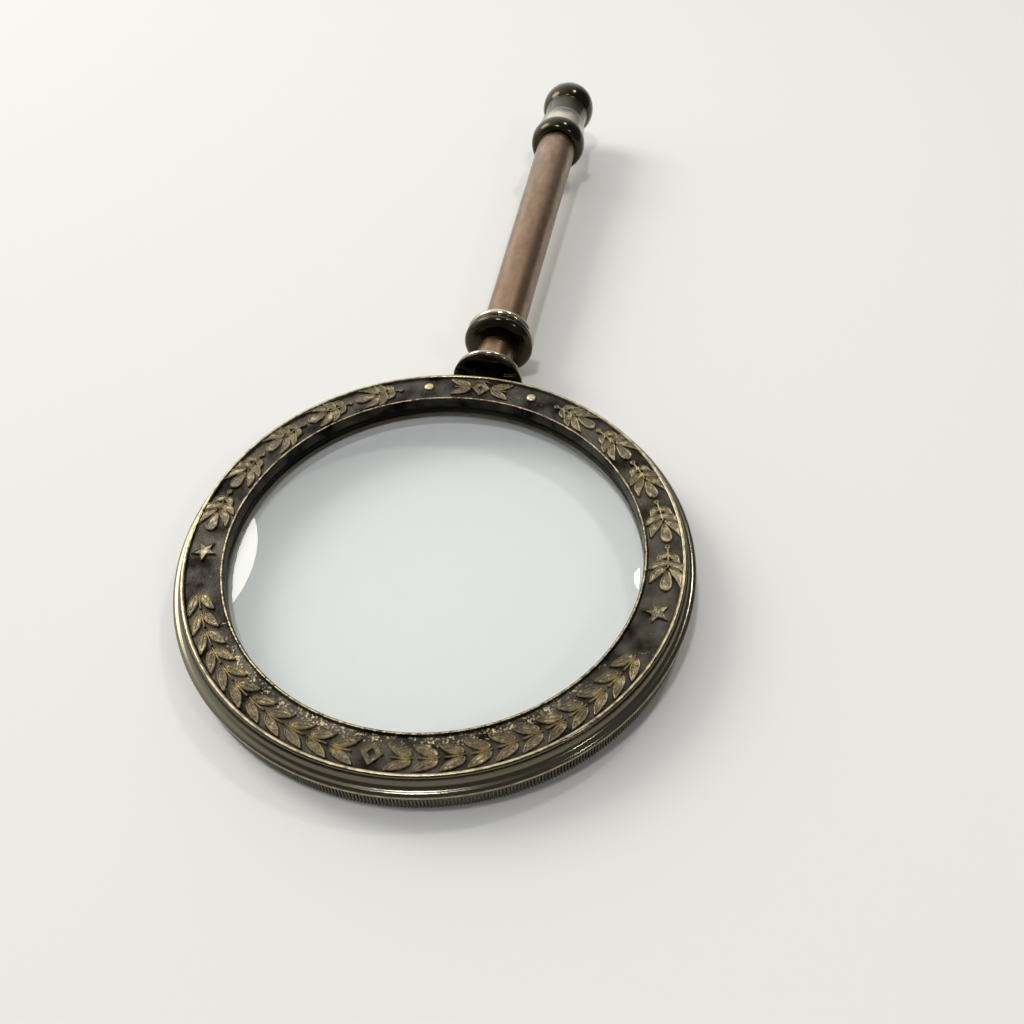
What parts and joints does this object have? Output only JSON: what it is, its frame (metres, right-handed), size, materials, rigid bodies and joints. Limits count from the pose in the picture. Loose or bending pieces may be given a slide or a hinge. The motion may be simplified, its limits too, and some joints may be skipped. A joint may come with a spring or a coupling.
{
  "type": "magnifying glass",
  "caption": "Hand-held magnifying glass: biconvex lens in a cast brass rim with a threaded retaining ring, and a turned handle of stacked collars, grip and ball end.",
  "frame": {"origin": "optical centre of the lens, half-way through the rim's thickness", "axes": "+Z along the lens's axis, out of the decorated face; +Y along the handle, from the rim to the ball; +X across the rim"},
  "size_m": [0.1064, 0.2538, 0.0174],
  "materials": {
    "antiqued_brass_cast": "cast, blackened, raised edges rubbed bright",
    "blackened_brass_turned": "turned and blackened",
    "polished_dark_brass": "turned, blackened and polished",
    "satin_antique_bronze": "drawn tube, satin antique finish",
    "lens_glass": "polished",
    "packing_card": "thin black packing",
    "plain_steel": "bright drawn"
  },
  "bodies": {
    "lens_and_rim": {"rim": "antiqued_brass_cast", "front_packing_ring": "packing_card", "lens": "lens_glass", "rear_packing_ring": "packing_card"},
    "retainer": {"retaining_ring": "blackened_brass_turned"},
    "handle": {"tie_rod": "plain_steel", "lower_collar": "polished_dark_brass", "neck": "satin_antique_bronze", "upper_collar": "polished_dark_brass", "grip": "satin_antique_bronze", "end_collar": "polished_dark_brass", "spring_washer": "plain_steel"},
    "finial": {"ball_finial": "polished_dark_brass"}
  },
  "joints": [
    {"name": "retaining_ring_thread", "type": "hinge", "parent": "lens_and_rim", "child": "retainer", "pos_m": [0, 0, -0.0031], "axis": [0, 0, 1], "continuous": true},
    {"name": "handle_thread", "type": "hinge", "parent": "lens_and_rim", "child": "handle", "pos_m": [0, 0.0536, 0], "axis": [0, 1, 0], "continuous": true},
    {"name": "ball_thread", "type": "hinge", "parent": "handle", "child": "finial", "pos_m": [0, 0.1708, 0], "axis": [0, 1, 0], "continuous": true}
  ]
}
